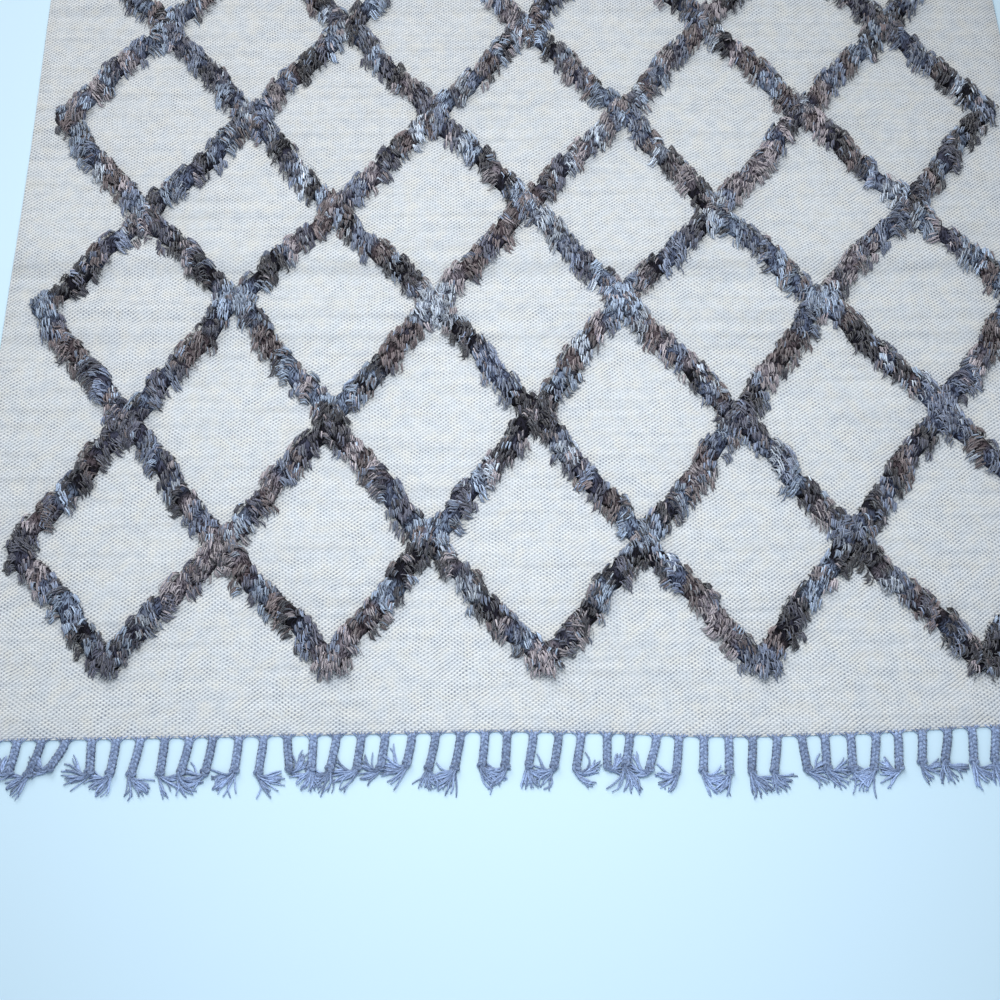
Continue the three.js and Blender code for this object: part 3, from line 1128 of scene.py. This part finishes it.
        stray = draw.random(count) < self.stray_share
        turn = draw.normal(0, 0.07, count) * np.where(stray, 3, 1) - place * self.lock_fan
        ahead = ahead * np.cos(turn)[:, None] + level * np.sin(turn)[:, None]
        level = np.stack([-ahead[:, 1], ahead[:, 0]], 1)
        length = np.repeat(draw.uniform(0.86, 1.1, tufts), each) * draw.uniform(0.9, 1.06, count)
        length *= (1.04 - 0.17 * off**2) * np.where(stray, 1.15, 1)
        reach = (self.lock_length * length * draw.uniform(0.74, 0.84, count))[:, None]
        curl = (clumps.curl[number] * draw.uniform(0.6, 1.3, count) + draw.normal(0, 0.0006, count))[:, None]
        lift = np.repeat(draw.uniform(0.88, 1.06, tufts), each) * draw.uniform(0.96, 1.04, count)
        lift *= 1.05 - 0.14 * off**2
        bent = zip(self.bends, self.curls)
        plans = [root + bend * reach * ahead + part * curl * level for bend, part in bent]
        plans[-1] = plans[-1] + draw.normal(0, 0.0009, (count, 1)) * level
        drops = (lift, lift * draw.uniform(0.84, 0.98, count), draw.uniform(0.5, 0.9, count))
        ground = self.ground(root)
        points = [np.column_stack([root, ground - self.root_sunk])]
        for plan, drop, least in zip(plans, drops, self.least_heights):
            height = np.maximum(self.height(band, plan) * drop, least)
            points.append(np.column_stack([plan, ground + self.stray_lift * stray + height]))

        plies = np.where(draw.random((count, 1)) < self.partner_share, partners, tones)
        silvery = 0.6 * plies + 0.4 * Wool.SILVER.tone() * draw.uniform(0.4, 1.0, (count, 1))
        plies = np.where(stray[:, None], silvery, plies)
        tone = plies * draw.uniform(0.9, 1.12, (count, 1)) * self.gain
        return {
            "points": np.stack(points, axis=1),
            "level": np.column_stack([level, np.zeros(count)]),
            "roll": draw.normal(0, 0.3, count),
            "width": self.lock_width * draw.uniform(0.75, 1.15, count) * np.where(stray, 0.35, 1),
            "height": self.lock_height * draw.uniform(0.75, 1.15, count) * np.where(stray, 0.5, 1),
            "tone": tone[:, None] * np.array(self.ring_shade)[:, None],
        }

    def strands(self, locks: dict[str, np.ndarray]) -> Strands:
        """Make every lock a soft bundle with a pointed tip.

        Args:
            locks: What locks_of gives, for one band or several.

        Returns:
            The locks as strands.
        """
        centre = locks["points"]
        level = np.repeat(locks["level"][:, None], centre.shape[1], axis=1)
        roll = locks["roll"][:, None, None]
        side = level * np.cos(roll) + UPRIGHT * np.sin(roll)
        wide, high = (locks[size][:, None] / 2 * np.array(self.swell) for size in ("width", "height"))
        return Strands(centre, side, wide, high, locks["tone"])

    def heart(self) -> Piece:
        """Make the shaded ridge that the locks grow from.

        Returns:
            The ridge of every band, joined.
        """
        stops = np.linspace(-self.heart_overlap, 1 + self.heart_overlap, self.heart_rings)
        centre, tone = [], []
        for band in self.bands:
            place = self.line(band, stops)
            number, _ = self.clumps[band.number].at(stops * band.length)
            centre.append(np.column_stack([place, self.ground(place)]))
            tone.append(self.dyed(band, number, place, 0.0))
        centre = np.array(centre)
        sizes = (self.heart_half_width, self.heart_height)
        wide, high = (size * self.draw.uniform(0.85, 1.1, centre.shape[:2]) for size in sizes)
        shape = {"corners": self.heart_corners, "pointed": False, "floor": centre[..., 2] - self.heart_sunk}
        made = Strands(centre, level_side(centre), wide, high, np.array(tone), **shape)
        return made.build("pile_heart")

    def build(self) -> list[Piece]:
        """Make the pile.

        Returns:
            The pile's pieces, from the near end to the far end.
        """
        made = [finish_piece(self.heart(), PileHeart().material(), "rug_cloth")]
        wool = ShagWool().material()
        rows = max(band.row for band in self.bands) + 1
        for piece in range(self.pieces):
            low, high = (rows * step // self.pieces for step in (piece, piece + 1))
            laid = [self.locks_of(band) for band in self.bands if low <= band.row < high]
            joined = {key: np.concatenate([locks[key] for locks in laid]) for key in laid[0]}
            locks = self.strands(joined).build(f"pile_locks_{piece + 1}")
            made.append(finish_piece(locks, wool, "rug_cloth"))
        return made


@dataclass
class Fringe:
    """The fringe of one end: gathered warps, plaits, knots and tassels.

    It is laid out in mm as the near end's, and turned to its own end last. strays gives the lean at the
    knot of the plaits that stand out, as pairs of a plait's number and mm.
    """

    side: Side
    cloth: GroundCloth
    count: int = 48
    pitch_mm: float = 32.7
    usual_lean: float = -6.0
    lean_spread: float = 4.0
    root_spread: float = 2.0
    length_spread: float = 0.08
    knot_along: float = 43.0
    strays: tuple[tuple[int, float], ...] = (
        (3, -14), (4, -23), (5, 2), (13, 6), (14, -1), (28, -14), (34, 4), (35, -2), (40, -12),
    )
    lean_at: tuple[tuple[float, float], ...] = ((0, 0), (9, 0.7), (23, 1), (45, 1), (62, 0.6))
    farthest: int = 90
    plait_rings: int = 19
    plait_reach: float = 3.7
    plait_height: float = 4.2
    plait_rise: float = 1.7
    strand_half_width: float = 2.8
    strand_half_height: float = 2.1
    turn_length: float = 17.0
    knot_rings: int = 25
    knot_size: tuple[float, float, float] = (1.9, 1.6, 2.3)
    knot_squash: float = 0.85
    knot_height: float = 5.6
    knot_yarn: float = 2.3
    knot_shade: float = 0.72
    tassel_yarns: int = 17
    tassel_lengths: tuple[float, float] = (26, 36)
    tassel_mouth: float = 2.4
    tassel_bend: tuple[float, ...] = (0.6, 0.9, 1, 1, 1, 1)
    tassel_fan: tuple[float, ...] = (0.5, 1, 1, 0.9, 0.8, 0.8)
    tassel_taper: tuple[float, ...] = (1.0, 1.0, 1.0, 1.0, 0.95, 0.7)
    tassel_shade: tuple[float, ...] = (0.75, 0.95, 1.05, 1.1, 1.1, 1.0)
    fallen_share: float = 0.85
    splay: float = 0.75
    edge_warps: int = 7
    edge_share: float = 0.40
    edge_yarn: float = 0.9
    tone_spread: float = 0.12

    def __post_init__(self) -> None:
        """Seed the draws and work out each plait's root, turn and stretch."""
        self.draw = np.random.default_rng(FRINGE_SEED + self.side.value)
        strays = dict(self.strays)
        plaits = range(self.count)
        lean = [strays.get(p, self.usual_lean + self.lean_spread * uneven(p, 3)) for p in plaits]
        self.turn = np.arcsin(np.array(lean) / self.knot_along)
        self.stretch = np.array([1 + self.length_spread * uneven(p, 5) for p in plaits])
        self.knots_along = self.knot_along * self.stretch
        middle = (self.count - 1) / 2
        aside = np.array([self.root_spread * uneven(p, 1) for p in plaits])
        self.root = (np.array(plaits) - middle) * self.pitch_mm + aside
        shade = self.draw.uniform(1 - self.tone_spread, 1 + self.tone_spread, (self.count, 1))
        self.tones = shade * np.ones(3)

    def edge(self, x: np.ndarray) -> np.ndarray:
        """Return where the near end's edge lies at places across the rug, in mm."""
        return -self.cloth.length / 2 / MM - self.cloth.end_out(x * MM) / MM

    def axis(self, along: np.ndarray) -> tuple[np.ndarray, np.ndarray, np.ndarray]:
        """Follow each plait from its root outwards.

        Args:
            along: Distances from the cloth's edge in mm, (plaits, stops).

        Returns:
            The place and the sideways and forward directions at each stop, in mm, near end.
        """
        steps = np.linspace(0, self.farthest, self.farthest + 1)
        share = np.interp(steps, *zip(*self.lean_at))
        heading = self.turn[:, None] * share
        ahead = np.stack([np.sin(heading), -np.cos(heading)], -1)
        line = np.stack([self.root, self.edge(self.root)], -1)[:, None] + walked(ahead[:, :-1])
        place = [[np.interp(a, steps, line[p, :, axis]) for axis in (0, 1)] for p, a in enumerate(along)]
        turned = self.turn[:, None] * np.interp(along, steps, share)
        sideways = np.stack([np.cos(turned), np.sin(turned)], -1)
        forward = np.stack([np.sin(turned), -np.cos(turned)], -1)
        return np.moveaxis(np.array(place), 1, 2), sideways, forward

    def placed(self, flat: np.ndarray, height: np.ndarray) -> np.ndarray:
        """Give the near end's plan its height, turn it to this end and make it metres."""
        points = np.concatenate([flat, np.broadcast_to(height, flat.shape[:2])[..., None]], -1) * MM
        points[..., :2] *= self.side.value
        return points

    def mesh(
        self, kind: str, centre: np.ndarray, half_mm: np.ndarray | float, tone: np.ndarray, **shape: object
    ) -> Piece:
        """Join round yarns into one piece.

        Args:
            kind: What they are, the first part of the piece's name.
            centre: Their middle lines.
            half_mm: Their half width in mm, at each ring or all over.
            tone: Their tones.
            shape: Further fields of Strands.

        Returns:
            The piece.
        """
        size = np.broadcast_to(half_mm, centre.shape[:2]) * MM
        fields = {"side": level_side(centre), "wide": size, "high": size, **shape}
        return Strands(centre=centre, tone=tone, **fields).build(f"{kind}_{self.side.name.lower()}")

    def plaits(self) -> Piece:
        """Braid three strands along each plait.

        Returns:
            The plaits of this end, joined.
        """
        along = np.linspace(0, 1, self.plait_rings)[None] * self.knots_along[:, None]
        place, sideways, _ = self.axis(along)
        strands, tones = [], []
        for third in range(3):
            phase = 2 * np.pi * (along / self.turn_length + third / 3 + self.root[:, None])
            spread = np.interp(along, [0, 6], [0.8, 1.0])
            offset = self.plait_reach * np.sin(phase) * spread
            height = self.plait_height + self.plait_rise * np.sin(2 * phase)
            strands.append(self.placed(place + offset[..., None] * sideways, height))
            own = self.tones * self.draw.uniform(0.92, 1.08, (self.count, 1))
            bare = np.interp(along, [0, 10], [1.25, 1.0])
            # Painted shade where each strand dives under the others, making the plait's chevrons; lighter
            # over its first 10 mm.
            tones.append(own[:, None] * (bare * (0.58 + 0.39 * np.sin(2 * phase)))[..., None])
        centre = np.concatenate(strands)
        side = np.tile(self.placed(sideways, 0) / MM, (3, 1, 1))
        high = np.full(centre.shape[:2], self.strand_half_height * MM)
        shape = {"side": side, "high": high, "corners": 6, "pointed": False}
        return self.mesh("plaits", centre, self.strand_half_width, np.concatenate(tones), **shape)

    def knots(self) -> Piece:
        """Tie an overhand knot at the end of each plait.

        Returns:
            The knots of this end, joined.
        """
        t = np.linspace(0, 2 * np.pi, self.knot_rings)
        loop = np.stack([np.sin(t) + 2 * np.sin(2 * t), np.cos(t) - 2 * np.cos(2 * t), -np.sin(3 * t)])
        x, y, z = loop[:, None] * np.array(self.knot_size)[:, None, None]
        place, sideways, forward = self.axis(self.knots_along[:, None])
        twist = self.draw.uniform(0, 2 * np.pi, self.count)
        cos, sin = np.cos(twist)[:, None], np.sin(twist)[:, None]
        across = x * cos - y * sin
        ahead = (x * sin + y * cos) * self.knot_squash
        flat = place + across[..., None] * sideways + ahead[..., None] * forward
        centre = self.placed(flat, self.knot_height + z)
        # Painted shade: the knots are darker than their plaits.
        tones = self.tones * self.knot_shade
        return self.mesh("knots", centre, self.knot_yarn, tones, corners=5, pointed=False)

    def tassels(self) -> Piece:
        """Splay the loose yarns past each knot; most tassels have fallen to one side.

        Returns:
            The tassels of this end, joined.
        """
        draw = self.draw
        each = self.tassel_yarns
        count = self.count * each
        fallen = draw.random(self.count) < self.fallen_share
        swing = np.where(fallen, draw.choice([-1, 1], self.count) * draw.uniform(1.0, 1.95, self.count), 0)
        swing = swing + draw.normal(0, 0.38, self.count)
        bow = draw.normal(0, 0.4, self.count)
        reach = draw.uniform(*self.tassel_lengths, self.count)

        axis = self.axis((self.knots_along + 3.0)[:, None])
        place, sideways, forward = (np.repeat(part, each, axis=0) for part in axis)
        spread = np.tile(np.linspace(-1, 1, each), self.count) + draw.normal(0, 0.2, count)
        mixed = np.repeat(np.arange(self.count), each) + draw.random(count) * 0.9
        spread = spread[np.argsort(mixed, kind="stable")]
        stops = np.linspace(0, 1, len(self.tassel_bend))
        heading = np.repeat(swing, each)[:, None] * np.array(self.tassel_bend)
        heading = heading + (spread * self.splay)[:, None] * np.array(self.tassel_fan)
        heading = heading + (np.repeat(bow, each) + draw.normal(0, 0.5, count))[:, None] * stops
        ahead = np.sin(heading)[..., None] * sideways + np.cos(heading)[..., None] * forward
        length = np.repeat(reach, each) * draw.uniform(0.82, 1.1, count)
        step = length[:, None, None] / (len(stops) - 1)
        wave = draw.normal(0, 2.2, (count, 1)) * np.sin(stops * 6 + draw.uniform(0, 6, (count, 1))) * stops
        mouth = place + (spread * self.tassel_mouth)[:, None, None] * sideways
        flat = mouth + walked(ahead[:, :-1] * step) + wave[..., None] * sideways
        top = draw.uniform(3.0, 8.5, count)[:, None]
        end = draw.uniform(1.3, 4.2, count)[:, None]
        height = end + (top - end) * np.clip(1 - stops * 1.3, 0, 1) ** 1.2
        half = draw.uniform(0.95, 1.4, (count, 1)) * np.array(self.tassel_taper)
        tones = np.repeat(self.tones, each, axis=0) * draw.uniform(0.7, 1.35, (count, 1))
        # Painted shade: each yarn is darker by its knot and lighter along its middle.
        tones = tones[:, None] * np.array(self.tassel_shade)[:, None]
        return self.mesh("tassels", self.placed(flat, height), half, tones, corners=5, pointed=False)

    def warps(self) -> Piece:
        """Gather the warps along the cloth's edge into each plait's root.

        Returns:
            The gathered warps of this end, joined.
        """
        draw = self.draw
        each = self.edge_warps
        count = self.count * each
        offset = np.tile(np.linspace(-1, 1, each), self.count) * self.pitch_mm * self.edge_share
        offset = offset + draw.normal(0, 1.0, count)
        root_x = np.repeat(self.root, each)
        edge = self.edge(root_x + offset)
        back = draw.uniform(1.6, 3.4, count)
        far = np.abs(offset)
        # Each stop has its share of the way aside, its distance up the cloth from the edge and its height.
        gathering = (
            (1.0, back + 0.8, 3.2),
            (0.94, back, 4.1),
            (0.72, 0.45 * back - 0.3, 4.0),
            (0.50, -0.7 - 0.03 * far, 3.4),
            (0.34, -3.2 - 0.06 * far, 4.4),
            (0.24, -9.0, 5.0),
        )
        flat = [np.stack([root_x + offset * share, edge + down], -1) for share, down, _ in gathering]
        centre = self.placed(np.stack(flat, axis=1), np.array([up for _, _, up in gathering]))
        tones = np.repeat(self.tones, each, axis=0) * draw.uniform(0.95, 1.55, (count, 1))
        return self.mesh("edge_warps", centre, self.edge_yarn, tones, pointed=False)

    def build(self, yarn: bpy.types.Material) -> list[Piece]:
        """Make the fringe.

        Args:
            yarn: The warp yarn's finish.

        Returns:
            The fringe's pieces.
        """
        node = f"fringe_{self.side.name.lower()}"
        made = [self.warps(), self.plaits(), self.knots(), self.tassels()]
        return [finish_piece(piece, yarn, node) for piece in made]


@dataclass(frozen=True)
class Softbox:
    """A square soft light: where it hangs, what it points at, its side, its watts and its colour."""

    name: str
    place: Place
    aim: Place
    side: float
    power: float
    tint: Tint

    def hang(self) -> None:
        """Hang the light in the scene."""
        data = bpy.data.lights.new(self.name, "AREA")
        data.size = self.side
        data.energy = self.power
        data.color = self.tint
        light = added(self.name, data)
        light.location = self.place
        light.rotation_euler = (Vector(self.aim) - Vector(self.place)).to_track_quat("-Z", "Y").to_euler()


@dataclass
class Studio:
    """The floor, the light and the camera; angles are in degrees."""

    eye: Place = (-0.076, -1.377, 1.557)
    pitch: float = 70.2
    yaw: float = -2.15
    roll: float = 1.33
    focal_pixels: float = 1150.0
    frame_pixels: float = 1000.0
    sensor_mm: float = 36.0
    floor_size: float = 14.0
    lights: tuple[Softbox, ...] = (
        Softbox("window", (-1.1, 1.3, 2.1), (0, -0.6, 0), 1.6, 41.5, (1.0, 0.955, 0.89)),
        Softbox("overhead", (-0.05, -0.70, 1.35), (-0.05, -0.70, 0), 0.7, 15.9, (1.0, 0.99, 0.975)),
        Softbox("sky", (0.0, -2.3, 1.0), (0, -1.1, 0), 1.0, 6.0, (0.72, 0.87, 1.0)),
    )
    world_tint: Tint = (0.93, 0.97, 1.0)
    world_strength: float = 0.34

    def camera(self) -> None:
        """Stand the camera where the rug is seen from."""
        pitch, yaw, roll = (math.radians(angle) for angle in (self.pitch, self.yaw, self.roll))
        sin, cos = math.sin(pitch), math.cos(pitch)
        tilted = Matrix(((1, 0, 0), (0, sin, cos), (0, cos, -sin)))
        turned = tilted @ Matrix.Rotation(yaw, 3, "Z").transposed()
        right, up, ahead = Matrix.Rotation(roll, 3, "Z").transposed() @ turned
        data = bpy.data.cameras.new("camera")
        data.sensor_width = self.sensor_mm
        data.lens = self.focal_pixels / self.frame_pixels * self.sensor_mm
        camera = added("camera", data)
        facing = Matrix((right, up, -ahead)).transposed().to_4x4()
        camera.matrix_world = Matrix.Translation(self.eye) @ facing
        bpy.context.scene.camera = camera

    def build(self) -> None:
        """Set the stage."""
        self.camera()
        deselect_all()
        bpy.ops.mesh.primitive_plane_add(size=self.floor_size, location=(0, 0, 0))
        floor = bpy.context.object
        floor.name = "floor"
        floor.data.materials.append(PaleFloor().material())
        deselect_all()
        for light in self.lights:
            light.hang()
        world = bpy.data.worlds.new("studio")
        world.use_nodes = True
        background = world.node_tree.nodes["Background"]
        background.inputs[0].default_value = (*self.world_tint, 1.0)
        background.inputs[1].default_value = self.world_strength
        bpy.context.scene.world = world
        bpy.context.scene.view_settings.view_transform = "Standard"


def main() -> None:
    """Build the rug's pieces in order."""
    logging.basicConfig(level=logging.INFO, format="%(message)s")
    Studio().build()
    cloth = GroundCloth()
    sheet = finish_piece(cloth.build(), FlatWeave(cloth.folds).material(), "rug_cloth")
    pile = ShaggyPile(Lattice(cloth.length), cloth).build()
    yarn = WarpYarn().material()
    fringes = [piece for side in Side for piece in Fringe(side, cloth).build(yarn)]


if __name__ == "__main__":
    main()
